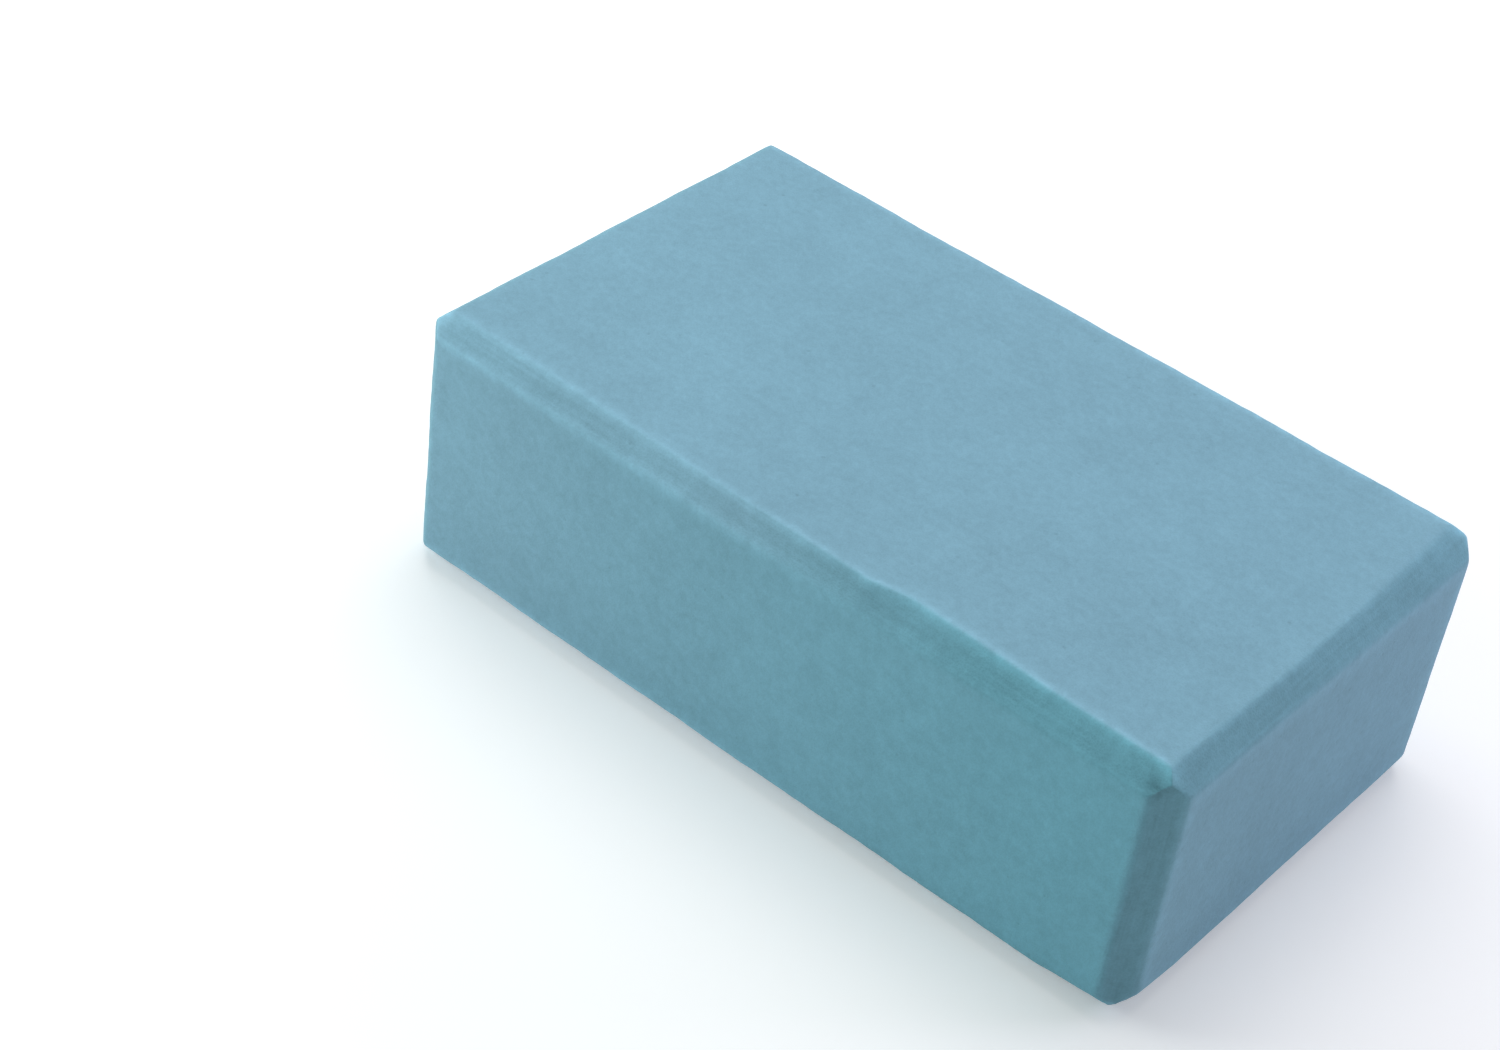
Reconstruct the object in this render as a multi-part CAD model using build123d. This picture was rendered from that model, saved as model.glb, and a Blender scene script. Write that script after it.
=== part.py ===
from build123d import *
import os

# Foam yoga block: one piece cut from closed-cell foam, with a flat bevel along every edge.
# Millimetres. +X runs along the length, +Y across the width and +Z up.
# The origin is at the middle of the large face that the block lies on.

block_length = 228.6        # X, from end face to end face
block_width = 134.5         # Y, between the two long sides
block_height = 76.2         # Z, between the two large faces
long_edge_bevel = 6.0       # how far the bevels that run along X are set back from the edge
end_edge_bevel = 5.7        # the same, for the bevels that run along Y
upright_edge_bevel = 7.0    # the same, for the bevels that run along Z
ridge_radius = 1.2          # softness of the ridges where a bevel ends


def bevelled_bar(section_plane, across, up, bevel, run):
    """A bar with its four corners cut off, centred on the origin, along the plane's normal."""
    outline = Rectangle(across, up)
    section = chamfer(outline.vertices(), bevel)
    return extrude(section_plane * section, run / 2, both=True)


def foam_block():
    """The space that three bevelled bars share: one bar for each direction of the edges."""
    upright_bar = bevelled_bar(Plane.XY, block_length, block_width, upright_edge_bevel, block_height)
    cross_bar = bevelled_bar(Plane.XZ, block_length, block_height, end_edge_bevel, block_width)
    long_bar = bevelled_bar(Plane.YZ, block_width, block_height, long_edge_bevel, block_length)
    sharp_block = upright_bar & cross_bar & long_bar
    soft_block = fillet(sharp_block.edges(), ridge_radius)
    return Pos(0, 0, block_height / 2) * soft_block


os.makedirs("parts", exist_ok=True)
export_step(foam_block(), "parts/foam_block.step")
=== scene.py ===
import math
import bmesh
import bpy
import numpy as np
from mathutils import Matrix, Vector, noise


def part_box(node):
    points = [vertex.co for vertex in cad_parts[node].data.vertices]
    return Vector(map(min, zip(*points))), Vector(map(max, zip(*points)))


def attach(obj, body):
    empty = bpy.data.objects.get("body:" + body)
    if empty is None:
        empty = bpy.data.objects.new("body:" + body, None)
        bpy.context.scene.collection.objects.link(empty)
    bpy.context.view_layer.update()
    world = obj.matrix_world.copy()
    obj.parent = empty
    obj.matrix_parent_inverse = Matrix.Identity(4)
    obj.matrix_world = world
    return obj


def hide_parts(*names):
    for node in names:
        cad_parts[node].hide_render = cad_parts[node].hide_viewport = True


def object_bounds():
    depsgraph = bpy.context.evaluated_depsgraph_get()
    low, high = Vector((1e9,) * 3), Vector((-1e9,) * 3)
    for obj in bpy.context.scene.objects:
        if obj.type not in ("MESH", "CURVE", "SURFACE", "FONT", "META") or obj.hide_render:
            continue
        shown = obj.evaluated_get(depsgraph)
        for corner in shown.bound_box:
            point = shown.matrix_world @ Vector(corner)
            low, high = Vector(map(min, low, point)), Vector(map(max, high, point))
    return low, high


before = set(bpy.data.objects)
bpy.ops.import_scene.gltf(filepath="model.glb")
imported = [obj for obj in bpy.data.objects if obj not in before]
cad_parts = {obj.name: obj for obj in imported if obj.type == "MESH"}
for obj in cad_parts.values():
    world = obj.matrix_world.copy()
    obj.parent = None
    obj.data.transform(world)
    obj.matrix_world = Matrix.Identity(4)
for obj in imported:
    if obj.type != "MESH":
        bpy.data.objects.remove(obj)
cadLow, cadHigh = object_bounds()
blockLow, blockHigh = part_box("foam_block")
blockMiddle = (blockLow + blockHigh) / 2
halfLength, halfWidth, halfHeight = (blockHigh - blockLow) / 2
halfSize = np.array((halfLength, halfWidth, halfHeight))
print("frame: block of", [round(2000 * half, 1) for half in halfSize], "mm")

# sizes in metres; places are from the block's middle, x to the right end, y to the back and z up
blockShape = {
    "longBevel": 0.0060,            # how far the bevels along the length are set back
    "endBevel": 0.0057,             # the same, for those across the width
    "uprightBevel": 0.0070,         # and for those up the corners
    "cutterDrift": 0.00025,         # how far the bevels stray from straight
    "driftLengths": (0.150, 0.062, 0.031),
    "chatter": 0.00009,             # small ripple that the cutter left along every ridge
    "chatterLengths": (0.0127, 0.0083, 0.0057),

    # three bevels that strayed in their own way: place, extra setback on one face, on the other
    "frontCut": (                   # top of the front side, cut in two goes: x, on the top, on the side
        (-0.102, 0.0005, -0.0012), (-0.060, -0.0001, -0.0007), (-0.020, -0.0009, -0.0001),
        (0.026, -0.0011, 0.0002), (0.036, 0.0011, 0.0004), (0.052, 0.0008, 0.0003),
        (0.075, 0, 0.0001), (0.100, -0.0002, 0)),
    "endCut": (                     # top of the right end, wider at the back: y, on the top, on the end
        (-0.060, 0.0002, 0.0004), (-0.020, -0.0004, 0), (0.015, 0, 0.0003), (0.060, 0.0017, 0.0006)),
    "uprightCut": (                 # the near upright one leans a little: z, on the side, on the end
        (-0.030, -0.0010, 0.0012), (-0.010, -0.0006, 0.0004), (0.030, -0.0001, 0)),

    "longWear": 0.00017,            # how round the ridges are worn
    "endWear": 0.00030,
    "uprightWear": 0.00045,
    "wearBlend": 0.0015,            # how gradually one bevel's wear gives way to the next one's
    "backCornerWear": 0.00060,      # extra wear of the right end's top ridges towards the back
    "backCornerReach": 0.060,
    "footWear": 0.0020,             # how much more is gone from the near corner that it stands on
    "footReach": 0.024,
    "hollow": 0.00016,              # broad unevenness of the faces
    "hollowSize": 0.055,
    "pebble": 0.00004,              # fine unevenness of the skin
    "pebbleSize": 0.0042,

    "squareSize": 0.00140,          # side of the mesh's squares away from the ridges
    "ridgeSteps": (0, 0.05, 0.11, 0.19, 0.30, 0.60, 1),         # rows, from a ridge to mid-bevel
    "edgeSteps": (0, 0.0003, 0.0004, 0.0005, 0.0006, 0.0008),   # columns, from a ridge inwards
    "slideInwards": 0.010,          # how far beyond a ridge the mesh lines slide along with it
    "slidePast": 0.006,             # the same, beyond the bevel's other ridge
    "settleRounds": 8,              # how often the points are moved onto the surface
}
bevelAxes = ((1, 2), (0, 2), (0, 1))    # what the long, end and upright bevels cut between


def ramp(values, start, end):
    # 0 up to start, 1 from end on, even in between
    return np.clip((values - start) / (end - start), 0, 1)


def blend(pair, share):
    return pair[0] * (1 - share) + pair[1] * share


def cutterPath(along, edgeNumber, size, waveLengths):
    # a wandering curve, different on each of the twelve edges
    draw = np.random.default_rng(40 + edgeNumber)
    total = np.zeros_like(along)
    for waveLength in waveLengths:
        total += np.sin(2 * np.pi * along / waveLength + draw.uniform(0, 2 * np.pi))
    return size * total / len(waveLengths)


def cutPath(along, cut, side):
    places, *extras = zip(*blockShape[cut])
    return np.interp(along, places, extras[side])


def bevelSetbacks(points):
    # the two setbacks of the bevel nearest to each point: for the long, end and upright bevels
    x, y, z = points.T
    setbacks, ripples = [], []
    for family, (along, first, second, base) in enumerate((
            (x, y, z, blockShape["longBevel"]),
            (y, x, z, blockShape["endBevel"]),
            (z, x, y, blockShape["uprightBevel"]))):
        edgeNumbers = family * 4 + 2 * (first > 0) + (second > 0)
        setback = np.full(len(points), base)
        ripple = np.zeros(len(points))
        for number in np.unique(edgeNumbers):
            here = edgeNumbers == number
            setback[here] += cutterPath(along[here], number, blockShape["cutterDrift"],
                                        blockShape["driftLengths"])
            ripple[here] = cutterPath(along[here], number + 12, blockShape["chatter"],
                                      blockShape["chatterLengths"])
        setbacks.append([setback, setback.copy()])
        ripples.append(ripple)

    front = (y < 0) & (z > 0)
    right = (x > 0) & (z > 0)
    near = (x > 0) & (y < 0)
    fromFoot = np.hypot(x - halfLength, y + halfWidth)
    worn = blockShape["footWear"] * (1 - ramp(fromFoot, 0, blockShape["footReach"])) * (z < 0)
    for side in (0, 1):
        setbacks[0][side][front] = blockShape["longBevel"] + cutPath(x[front], "frontCut", side)
        setbacks[1][side][right] = blockShape["endBevel"] + cutPath(y[right], "endCut", side)
        setbacks[2][side][near] = blockShape["uprightBevel"] + cutPath(z[near], "uprightCut", side)
        for pair, ripple in zip(setbacks, ripples):
            pair[side] += ripple
        setbacks[0][side] += worn
        setbacks[1][side] += worn
    return setbacks


def planeDistances(points):
    # signed distance to the three pairs of faces and the three families of bevels
    beyond = np.abs(points) - halfSize
    bevels = []
    for (first, second), (onFirst, onSecond) in zip(bevelAxes, bevelSetbacks(points)):
        steepness = onFirst * onSecond / np.hypot(onFirst, onSecond)
        bevels.append((1 + beyond[:, first] / onFirst + beyond[:, second] / onSecond) * steepness)
    return np.vstack((beyond.T, bevels))


def ridgeWear(points, bevels):
    # the wear of the nearest bevel's ridges, blended smoothly where bevels meet
    backCorner = ramp(points, 0, blockShape["backCornerReach"]).prod(axis=1)
    wears = np.array((np.full(len(points), blockShape["longWear"]),
                      blockShape["endWear"] + blockShape["backCornerWear"] * backCorner,
                      np.full(len(points), blockShape["uprightWear"])))
    weights = np.exp((bevels - bevels.max(axis=0)) / blockShape["wearBlend"])
    return (wears * weights).sum(axis=0) / weights.sum(axis=0)


def outside(points):
    # below zero inside the foam: the largest plane distance, softened where planes meet
    distances = planeDistances(points)
    largest = distances.max(axis=0)
    wear = ridgeWear(points, distances[3:])
    softened = np.exp((distances - largest) / wear).sum(axis=0)
    return largest + wear * np.log(softened)


def outwards(points):
    step = 0.00002
    slopes = [outside(points + step * axis) - outside(points - step * axis) for axis in np.eye(3)]
    normals = np.array(slopes).T
    return normals / np.linalg.norm(normals, axis=1, keepdims=True)


def gradedLine(half):
    # from -1 to 1, in fine steps beside both ends and even ones between
    near = np.cumsum(blockShape["edgeSteps"])
    inner = half - near[-1]
    middle = np.linspace(-inner, inner, round(2 * inner / blockShape["squareSize"]) + 1)
    return np.concatenate((near[:-1] - half, middle, half - near[-2::-1])) / half


def bentPath(start, corner, end):
    # from one ridge over the corner's middle point to the other ridge
    steps = np.array(blockShape["ridgeSteps"])[:, None]
    return np.vstack((start + steps * (corner - start), (end + steps * (corner - end))[-2::-1]))


def blockPatches():
    # one patch of each kind, for the corner where x, y and z are all positive
    longBevel = blockShape["longBevel"]
    endBevel = blockShape["endBevel"]
    uprightBevel = blockShape["uprightBevel"]
    topCorner = halfSize - (endBevel, longBevel, 0)
    sideCorner = halfSize - (uprightBevel, 0, longBevel)
    endCorner = halfSize - (0, uprightBevel, endBevel)
    corner = halfSize - np.array((uprightBevel + endBevel - longBevel,
                                  uprightBevel + longBevel - endBevel,
                                  longBevel + endBevel - uprightBevel)) / 2
    lines = [gradedLine(half) for half in halfSize]
    for start, axes in ((topCorner, (0, 1)), (sideCorner, (0, 2)), (endCorner, (1, 2))):
        first, second = np.meshgrid(lines[axes[0]], lines[axes[1]], indexing="ij")
        patch = np.ones(first.shape + (3,))
        patch[..., axes[0]] = first
        patch[..., axes[1]] = second
        yield patch * start, (3 - sum(axes),)
    for start, end, axis in ((topCorner, sideCorner, 0), (topCorner, endCorner, 1),
                             (sideCorner, endCorner, 2)):
        rows = bentPath(start, corner, end)
        patch = np.repeat(rows[None], len(lines[axis]), axis=0)
        patch[..., axis] = lines[axis][:, None] * rows[None, :, axis]
        yield patch, bevelAxes[axis]


def blockGrid():
    # all patches with their mirror images, and the corners that they share joined
    points, faces, count = [], [], 0
    for patch, mirrorAxes in blockPatches():
        rows, columns = patch.shape[:2]
        index = np.arange(rows * columns).reshape(rows, columns)
        quads = np.stack((index[:-1, :-1], index[1:, :-1], index[1:, 1:], index[:-1, 1:]), axis=-1)
        for turn in range(2 ** len(mirrorAxes)):
            signs = np.ones(3)
            for bit, axis in enumerate(mirrorAxes):
                signs[axis] = -1 if turn >> bit & 1 else 1
            points.append(patch.reshape(-1, 3) * signs)
            faces.append(quads.reshape(-1, 4) + count)
            count += rows * columns
    points = np.vstack(points)
    faces = np.vstack(faces)
    rounded = np.round(points, decimals=7)
    _, first, place = np.unique(rounded, axis=0, return_index=True, return_inverse=True)
    return points[first], place.reshape(-1)[faces]


def followRidges(points):
    # slide the mesh lines beside each ridge to where the wandering ridge really runs
    inset = halfSize - np.abs(points)
    moved = inset.copy()
    bases = (blockShape["longBevel"], blockShape["endBevel"], blockShape["uprightBevel"])
    for (first, second), base, (onFirst, onSecond) in zip(bevelAxes, bases, bevelSetbacks(points)):
        for axis, other, setback in ((first, second, onFirst), (second, first, onSecond)):
            rise = ramp(inset[:, axis], 0, base)
            fall = 1 - ramp(inset[:, axis], base, base + blockShape["slideInwards"])
            nearEdge = 1 - ramp(inset[:, other], base, base + blockShape["slidePast"])
            moved[:, axis] += (setback - base) * rise * fall * nearEdge
    return np.sign(points) * (halfSize - moved)


# the upright cut overran into the front bevel at the near corner
nick = {
    "place": (halfLength - 0.0059, -halfWidth + 0.0019, halfHeight - 0.0039),
    "size": (0.0026, 0.0026, 0.0016),
    "depth": 0.0009,
    "shade": 0.26,      # how much painted shadow darkens it
}


def cornerNick(points):
    # 1 in the middle of the nick, fading to 0 around it
    away = np.linalg.norm((points - np.array(nick["place"])) / np.array(nick["size"]), axis=1)
    return np.exp(-away ** 2)


def dip(place, falloff):
    # two sizes of noise, mostly between 0 and 1
    return 0.5 + 0.4 * noise.fractal(place, falloff, 2.0, 2)


def foamSkin(points, normals):
    # push the points in by the broad hollows, the fine pebble and the nick
    drops = np.empty(len(points))
    for i, point in enumerate(points):
        here = Vector(point)
        broad = dip(here / blockShape["hollowSize"], 1.0)
        fine = dip(here / blockShape["pebbleSize"] + Vector((7, 3, 5)), 0.8)
        drops[i] = blockShape["hollow"] * broad + blockShape["pebble"] * fine
    drops = np.clip(drops, 0, None) + nick["depth"] * cornerNick(points)
    return points - normals * drops[:, None]


# pairs are for the front top bevel's first and second cut, unless said
edgeLook = {
    "changeOver": (-0.004, 0.032),      # where along x its first cut gives way to the second
    "edgeBlur": (0.0010, 0.0018, 0.0024),       # how gradually the long, end and upright bevels begin
    "sideBlur": 0.0022,                 # how gradually the long bevels end in the side
    "longShade": (0.03, 0.145),         # how much darker the long bevels are: partly the cut foam's own tone, partly painted shade
    "longFade": 0.35,                   # how much of that darkening is lost from the top ridge to the side one, a painted shading gradient
    # the same darkening of the end and upright bevels, partly their own tone and partly painted shade
    "endShade": 0.10,
    "uprightShade": 0.13,
    "frontRidge": (0.20, 0.28),         # how much paler the long bevels' ridges are: painted highlight where light catches them, and some wear
    "otherRidge": 0.05,
    "ridgeWidth": 0.0013,
    "cornerRidge": 0.42,                # painted highlight on the short ridges where the long and end bevels meet
    "cornerRidgeWidth": 0.0020,
    "endPaintedHighlight": 0.090,                 # painted highlight along the end faces' rounded top border
    "endBorderPlace": 0.0014,
    "endBorderWidth": 0.0017,
    "longGreen": (0, 1.0),              # painted shade tint of the long bevels: how green they are where they lie in shade
    "longGreenPlace": (-0.010, 0.060),  # where along x it begins and is full
    "endGreen": 0.42,
    "uprightGreen": 0.42,
    "sideGreen": (0, 0.95),             # painted shade tint of the long sides, from the lit left to the shaded right
    "sideGreenPlace": (-0.080, 0.090),
}


def bell(values, width):
    return np.exp(-(values / width) ** 2)


def edgeShades(points):
    # how far each point is on a bevel, its darkening (the cut foam's own tone, painted shade and the
    # nick's painted shadow), its painted highlight and wear, its painted shade tint, and which way the
    # cut ran
    x, y, z = points.T
    distances = planeDistances(points)
    faces, bevels = distances[:3], distances[3:]
    family = bevels.argmax(axis=0)
    nearestFace = faces.argmax(axis=0)
    margin = bevels.max(axis=0) - faces.max(axis=0)
    onSide = faces[1] > faces[2]
    begins = np.choose(family, edgeLook["edgeBlur"])
    blur = np.where((family == 0) & onSide, edgeLook["sideBlur"], begins)
    onBevel = np.clip(0.5 + margin / blur, 0, 1)

    secondCut = ramp(x, *edgeLook["changeOver"])
    across = np.clip(0.5 + (faces[1] - faces[2]) / (2 * blockShape["longBevel"]), 0, 1)
    longShade = blend(edgeLook["longShade"], secondCut) * (1 + edgeLook["longFade"] * (0.5 - across))
    # bevels darkened: partly the cut foam's own tone, partly painted shade
    shade = onBevel * np.choose(family, (longShade, edgeLook["endShade"], edgeLook["uprightShade"]))
    # painted shadow in the nick
    shade += nick["shade"] * cornerNick(points)

    ordered = np.sort(distances, axis=0)
    frontRidge = blend(edgeLook["frontRidge"], secondCut) * np.where(onSide, 1 - secondCut, 1)
    strength = np.where(family == 0, frontRidge, edgeLook["otherRidge"])
    # painted highlight on the ridges, with some wear
    pale = strength * bell(ordered[-1] - ordered[-2], edgeLook["ridgeWidth"])
    cornerRidge = edgeLook["cornerRidge"] * bell(bevels[0] - bevels[1], edgeLook["cornerRidgeWidth"])
    pale = np.maximum(pale, cornerRidge * onBevel * (family < 2))
    # painted highlight along the end faces' rounded top border
    border = bell(margin + edgeLook["endBorderPlace"], edgeLook["endBorderWidth"])
    pale += edgeLook["endPaintedHighlight"] * border * (nearestFace == 0) * (margin < 0)

    # painted shade tint: greener where the foam lies in shade
    longGreen = blend(edgeLook["longGreen"], ramp(x, *edgeLook["longGreenPlace"]))
    sideGreen = blend(edgeLook["sideGreen"], ramp(x, *edgeLook["sideGreenPlace"])) * (nearestFace == 1)
    bevelGreen = np.choose(family, (longGreen, edgeLook["endGreen"], edgeLook["uprightGreen"]))
    green = bevelGreen * onBevel + sideGreen * (1 - onBevel)
    shades = {"onBevel": onBevel, "edgeShade": shade, "paintedHighlightAndWear": pale, "paintedShadeTint": green}
    return shades, np.eye(3)[family]


def makeBlock():
    points, faces = blockGrid()
    points = followRidges(points)
    for _ in range(blockShape["settleRounds"]):
        points = points - outside(points)[:, None] * outwards(points)
    shades, cutAxis = edgeShades(points)
    points = foamSkin(points, outwards(points)) + np.array(blockMiddle)
    mesh = bpy.data.meshes.new("foam_block_body")
    mesh.from_pydata(points.tolist(), [], faces.tolist())
    for name, values in shades.items():
        mesh.attributes.new(name, "FLOAT", "POINT").data.foreach_set("value", values.astype(np.float32))
    cutData = mesh.attributes.new("cutAxis", "FLOAT_VECTOR", "POINT").data
    cutData.foreach_set("vector", cutAxis.astype(np.float32).ravel())
    solid = bmesh.new()
    solid.from_mesh(mesh)
    bmesh.ops.recalc_face_normals(solid, faces=solid.faces)
    for face in solid.faces:
        face.smooth = True
    solid.to_mesh(mesh)
    solid.free()
    block = bpy.data.objects.new("foam_block_body", mesh)
    bpy.context.scene.collection.objects.link(block)
    print("block:", len(mesh.vertices), "points,", 2 * len(mesh.polygons), "triangles")
    return block


def plug(tree, socket, value):
    # another node's output is linked, and a number or colour is set on the socket
    if isinstance(value, bpy.types.NodeSocket):
        tree.links.new(value, socket)
    else:
        socket.default_value = value


def addNode(tree, kind, inputs, **settings):
    # a new node with its inputs filled, which gives back its outputs
    node = tree.nodes.new(kind)
    for name, setting in settings.items():
        setattr(node, name, setting)
    for socket, value in inputs.items():
        plug(tree, node.inputs[socket], value)
    return node.outputs


def calculate(tree, operation, first, second):
    return addNode(tree, "ShaderNodeMath", {0: first, 1: second}, operation=operation)[0]


def vectorMath(tree, operation, inputs):
    return addNode(tree, "ShaderNodeVectorMath", inputs, operation=operation)


def remap(tree, value, low, high, toLow, toHigh, curve="LINEAR"):
    inputs = {"Value": value, "From Min": low, "From Max": high, "To Min": toLow, "To Max": toHigh}
    return addNode(tree, "ShaderNodeMapRange", inputs, interpolation_type=curve)["Result"]


def mixColours(tree, share, first, second):
    inputs = {"Factor": share, "A": first, "B": second}
    return addNode(tree, "ShaderNodeMix", inputs, data_type="RGBA")["Result"]


def noiseOf(tree, place, size, detail=2.0, rough=0.5):
    inputs = {"Vector": place, "Scale": 1 / size, "Detail": detail, "Roughness": rough}
    return addNode(tree, "ShaderNodeTexNoise", inputs)["Fac"]


def unevenness(tree, grain, low, high):
    # noise mostly lies between 0.3 and 0.7, which becomes low and high
    return remap(tree, grain, 0.3, 0.7, low, high)


def vertexValue(tree, name):
    return addNode(tree, "ShaderNodeAttribute", {}, attribute_name=name)


# sizes in metres; tones are shares of the foam's colour
foamLook = {
    "colour": (0.223, 0.418, 0.527, 1),
    "greenTint": (0.76, 1.025, 1.0, 1),     # what the foam's colour keeps under the fullest painted shade tint
    "roughness": 0.90,
    "specular": 0.30,
    "sheen": 0.08,
    "sheenRoughness": 0.6,
    "cellSize": 0.00052,
    "cellWall": 0.75,               # how far a cell's wall is from its middle, in cells
    "cellContrast": 0.10,
    "mottleSizes": (0.0020, 0.0068),
    "mottle": (0.050, 0.032),
    "cloudSize": 0.030,
    "cloud": 0.034,
    "pinholeSpacing": 0.0050,
    "pinholeSize": 0.00030,
    "pinholeRim": 2.2,              # how much larger the hole is at its rim
    "pinholeGaps": 0.45,            # share of the places that have no hole
    # how much darker the cut bubbles are painted: painted shade inside them
    "pinholeShade": 0.13,
    "streakAndPatchNoise": (3.0, 0.6),        # detail and roughness of the streaks and of the patches in the ridges' painted highlight and wear
    "streakSize": 0.0011,
    "streakStretch": 0.96,          # how much of the noise's run along the cut is taken out
    "streak": 0.06,
    "patchSize": 0.0045,            # patches that break up the ridges' painted highlight and wear
    "patches": (0.55, 1.40),
    "smudgePlace": (0.032, 0.017, 0.0762),
    "smudgeSize": 0.0090,
    "smudgeEdge": (0.0050, 0.002),  # size and depth of its ragged edge
    "smudge": 0.075,
    "cellBump": 0.00005,
    "pebbleBump": 0.00006,
    "pebbleBumpSize": 0.0013,
}


def cutPinholes(tree, place):
    # a few larger bubbles that were cut through: 1 in them, 0 elsewhere
    bubbles = addNode(tree, "ShaderNodeTexVoronoi",
                      {"Scale": 1 / foamLook["pinholeSpacing"], "Vector": place})
    edge = foamLook["pinholeSize"] / foamLook["pinholeSpacing"]
    hole = remap(tree, bubbles["Distance"], edge, edge * foamLook["pinholeRim"], 1.0, 0.0, "SMOOTHSTEP")
    pick = addNode(tree, "ShaderNodeSeparateColor", {"Color": bubbles["Color"]})["Red"]
    return calculate(tree, "MULTIPLY", hole, remap(tree, pick, foamLook["pinholeGaps"], 1.0, 0.0, 1.0))


def cutterStreaks(tree, place):
    # noise stretched along the cut, on the bevels only
    cutAxis = vertexValue(tree, "cutAxis")["Vector"]
    run = vectorMath(tree, "DOT_PRODUCT", {0: place, 1: cutAxis})["Value"]
    takenOut = calculate(tree, "MULTIPLY", run, foamLook["streakStretch"])
    alongCut = vectorMath(tree, "SCALE", {0: cutAxis, "Scale": takenOut})["Vector"]
    squeezed = vectorMath(tree, "SUBTRACT", {0: place, 1: alongCut})["Vector"]
    streaks = noiseOf(tree, squeezed, foamLook["streakSize"], *foamLook["streakAndPatchNoise"])
    tone = unevenness(tree, streaks, -foamLook["streak"], foamLook["streak"])
    return calculate(tree, "MULTIPLY", tone, vertexValue(tree, "onBevel")["Fac"])


def rubbedSpot(tree, place):
    # a faint dark spot on the top
    away = vectorMath(tree, "DISTANCE", {0: place, 1: foamLook["smudgePlace"]})["Value"]
    size, depth = foamLook["smudgeEdge"]
    ragged = calculate(tree, "ADD", away, unevenness(tree, noiseOf(tree, place, size), -depth, depth))
    return remap(tree, ragged, 0.0, foamLook["smudgeSize"], -foamLook["smudge"], 0.0, "SMOOTHSTEP")


def bumpOf(tree, height, depth, inputs):
    inputs = {"Strength": 1.0, "Distance": depth, "Height": height, **inputs}
    return addNode(tree, "ShaderNodeBump", inputs)["Normal"]


def makeFoam():
    foam = bpy.data.materials.new("blue_green_foam")
    foam.use_nodes = True
    tree = foam.node_tree
    shader = tree.nodes["Principled BSDF"].inputs
    shader["Roughness"].default_value = foamLook["roughness"]
    shader["Specular IOR Level"].default_value = foamLook["specular"]
    shader["Sheen Weight"].default_value = foamLook["sheen"]
    shader["Sheen Roughness"].default_value = foamLook["sheenRoughness"]
    place = addNode(tree, "ShaderNodeTexCoord", {})["Object"]

    # closed cells, sliced open: pale walls round small dark pits
    cells = addNode(tree, "ShaderNodeTexVoronoi",
                    {"Scale": 1 / foamLook["cellSize"], "Vector": place})["Distance"]
    pits = remap(tree, cells, 0.0, foamLook["cellWall"], -1.0, 1.0)
    tones = [calculate(tree, "MULTIPLY", pits, foamLook["cellContrast"] / 2)]
    for size, depth in zip((*foamLook["mottleSizes"], foamLook["cloudSize"]),
                           (*foamLook["mottle"], foamLook["cloud"])):
        tones.append(unevenness(tree, noiseOf(tree, place, size), -depth, depth))
    pinholes = cutPinholes(tree, place)
    # painted shade inside the cut bubbles
    tones.append(calculate(tree, "MULTIPLY", pinholes, -foamLook["pinholeShade"]))
    tones.append(cutterStreaks(tree, place))

    # painted highlight and wear on the ridges, patchy along their run, and bevels darkened partly by
    # their own tone and partly by painted shade
    patches = noiseOf(tree, place, foamLook["patchSize"], *foamLook["streakAndPatchNoise"])
    patchy = unevenness(tree, patches, *foamLook["patches"])
    tones.append(calculate(tree, "MULTIPLY", vertexValue(tree, "paintedHighlightAndWear")["Fac"], patchy))
    tones.append(calculate(tree, "MULTIPLY", vertexValue(tree, "edgeShade")["Fac"], -1.0))
    tones.append(rubbedSpot(tree, place))
    total = 1.0
    for tone in tones:
        total = calculate(tree, "ADD", tone, total)

    # painted shade tint mixed into the foam's colour
    greenest = [colour * kept for colour, kept in zip(foamLook["colour"], foamLook["greenTint"])]
    tinted = mixColours(tree, vertexValue(tree, "paintedShadeTint")["Fac"], foamLook["colour"], greenest)
    plug(tree, shader["Base Color"], vectorMath(tree, "SCALE", {0: tinted, "Scale": total})["Vector"])

    pebble = bumpOf(tree, noiseOf(tree, place, foamLook["pebbleBumpSize"]), foamLook["pebbleBump"], {})
    height = calculate(tree, "SUBTRACT", cells, pinholes)
    plug(tree, shader["Normal"], bumpOf(tree, height, foamLook["cellBump"], {"Normal": pebble}))
    # the ridges carry painted highlight as well as wear
    print("foam: cells, mottling, streaks and worn ridges")
    return foam


studio = {
    "floorColour": (0.92, 0.92, 0.92, 1),
    "floorHalf": 4.0,
    "floorGap": 0.0002,             # between the floor and the block
    "floorLift": (0.25, 1.0),       # how far the floor is lifted towards white: near the block, far away
    "liftReach": (0.19, 0.50),      # how far from the block's middle near and far are
    "floorLiftColour": (1.0, 0.95, 0.94, 1),
    "ambient": 0.265,
    "ambientColour": (0.85, 1.0, 0.99, 1),
    "lamps": {                      # place from the block's middle, width, power and colour
        "overhead": ((-0.30, 0.30, 1.2), 1.2, 9.8, (0.98, 0.97, 1)),
        "left": ((-0.55, -0.40, 0.26), 0.35, 2.2, (0.92, 1, 0.985)),
        "right_back": ((0.40, 0.42, 0.25), 0.30, 0.95, (0.88, 0.77, 1)),
    },
}


def seenDirectly(tree):
    # 1 where the camera, a reflection or glass looks, 0 for the light itself
    path = addNode(tree, "ShaderNodeLightPath", {})
    cameraOrGloss = calculate(tree, "MAXIMUM", path["Is Camera Ray"], path["Is Glossy Ray"])
    return calculate(tree, "MAXIMUM", cameraOrGloss, path["Is Transmission Ray"])


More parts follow.
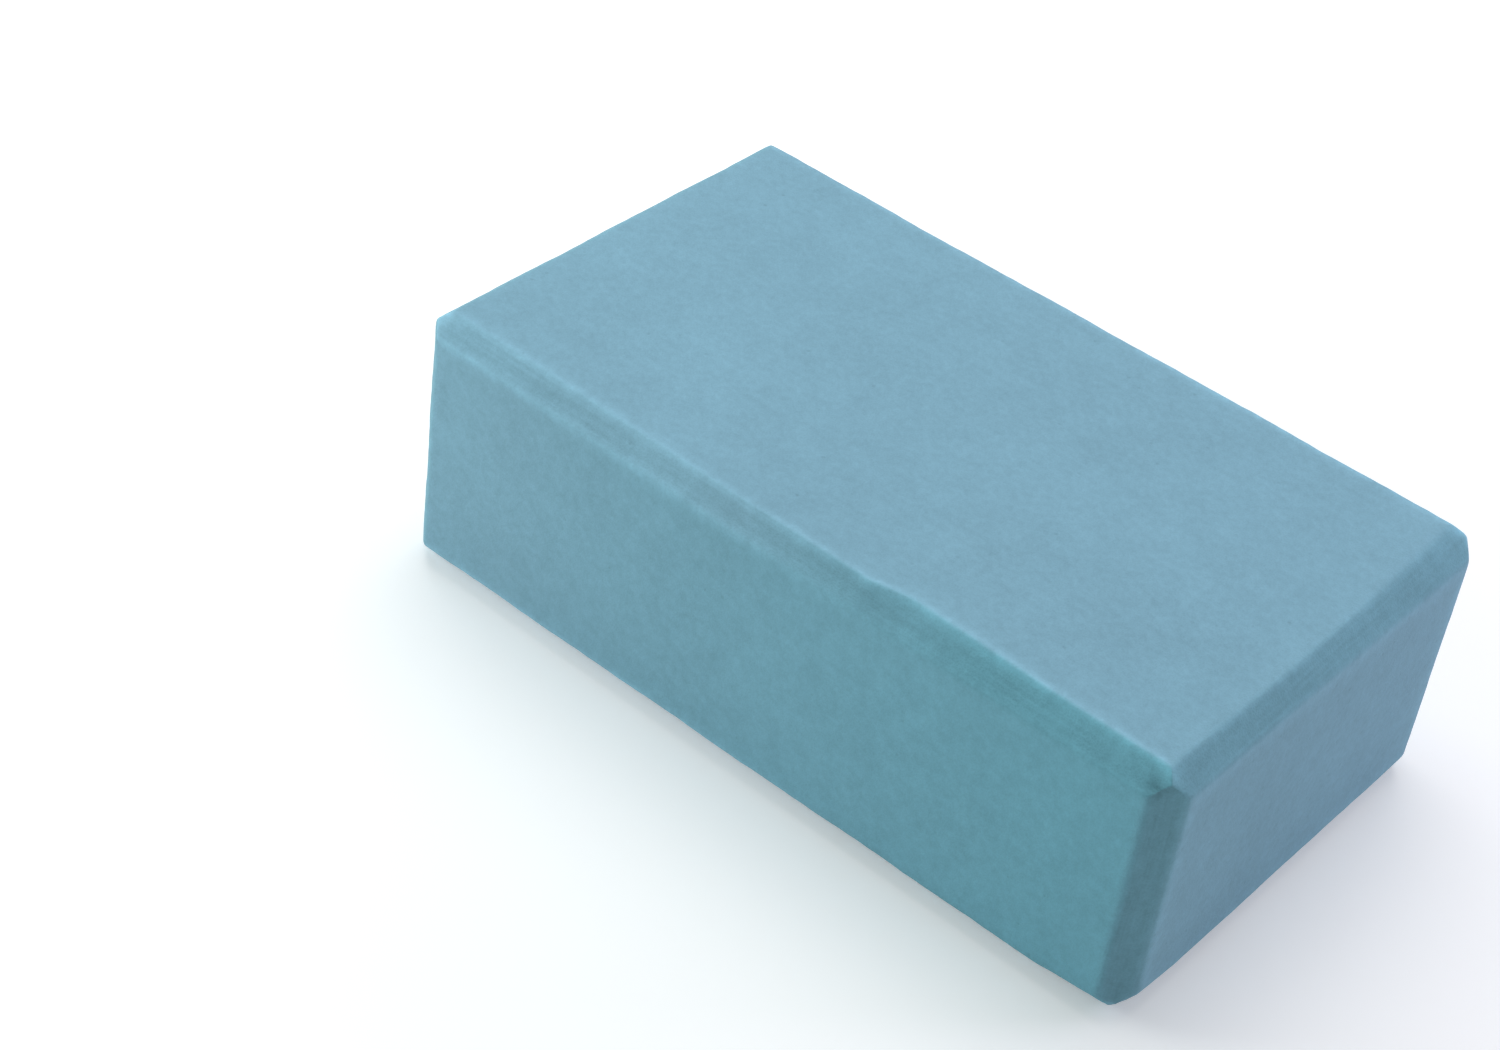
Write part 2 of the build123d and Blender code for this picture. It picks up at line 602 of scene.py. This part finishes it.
def makeFloor():
    half = studio["floorHalf"]
    mesh = bpy.data.meshes.new("floor")
    corners = [(-half, -half, 0), (half, -half, 0), (half, half, 0), (-half, half, 0)]
    mesh.from_pydata(corners, [], [(0, 1, 2, 3)])
    floor = bpy.data.objects.new("floor", mesh)
    floor.location.z = cadLow.z - studio["floorGap"]
    bpy.context.scene.collection.objects.link(floor)
    paint = bpy.data.materials.new("white_floor")
    paint.use_nodes = True
    tree = paint.node_tree
    shader = tree.nodes["Principled BSDF"].inputs
    shader["Base Color"].default_value = studio["floorColour"]
    shader["Roughness"].default_value = 1.0
    shader["Specular IOR Level"].default_value = 0.0
    shader["Emission Color"].default_value = studio["floorLiftColour"]
    place = addNode(tree, "ShaderNodeTexCoord", {})["Object"]
    away = vectorMath(tree, "LENGTH", {0: place})["Value"]
    level = remap(tree, away, *studio["liftReach"], *studio["floorLift"])
    plug(tree, shader["Emission Strength"], calculate(tree, "MULTIPLY", seenDirectly(tree), level))
    mesh.materials.append(paint)


def makeWorld():
    world = bpy.data.worlds.new("studio")
    bpy.context.scene.world = world
    world.use_nodes = True
    tree = world.node_tree
    background = tree.nodes["Background"].inputs
    seen = seenDirectly(tree)
    plug(tree, background["Color"], mixColours(tree, seen, studio["ambientColour"], (1, 1, 1, 1)))
    plug(tree, background["Strength"], remap(tree, seen, 0.0, 1.0, studio["ambient"], 1.0))


def makeLamps():
    for name, (place, width, power, colour) in studio["lamps"].items():
        light = bpy.data.lights.new(name, "AREA")
        light.shape = "SQUARE"
        light.size = width
        light.energy = power
        light.color = colour
        lamp = bpy.data.objects.new(name, light)
        lamp.location = blockMiddle + Vector(place)
        lamp.rotation_euler = (-Vector(place)).to_track_quat("-Z", "Y").to_euler()
        bpy.context.scene.collection.objects.link(lamp)


cameraView = {
    "lens": 72.4,
    "place": (0.30670, -0.50746, 0.46620),      # from the block's middle
    "aim": (-0.0345, -0.0267, -0.0023),         # also from the block's middle
    "roll": 8.59,                               # degrees
}


def makeCamera():
    data = bpy.data.cameras.new("camera")
    data.lens = cameraView["lens"]
    camera = bpy.data.objects.new("camera", data)
    bpy.context.scene.collection.objects.link(camera)
    place = blockMiddle + Vector(cameraView["place"])
    back = (place - blockMiddle - Vector(cameraView["aim"])).normalized()
    level = Vector((0, 0, 1)).cross(back).normalized()
    roll = math.radians(cameraView["roll"])
    right = level * math.cos(roll) + back.cross(level) * math.sin(roll)
    up = back.cross(right)
    turn = Matrix((right, up, back)).transposed()
    camera.matrix_world = Matrix.Translation(place) @ turn.to_4x4()
    bpy.context.scene.camera = camera


makeFloor()
makeWorld()
makeLamps()
makeCamera()
print("studio: floor, lamps and camera")

block = makeBlock()
block.data.materials.append(makeFoam())
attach(block, "root")
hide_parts("foam_block")
print("block: in place")

bpy.context.scene.view_settings.view_transform = "Standard"
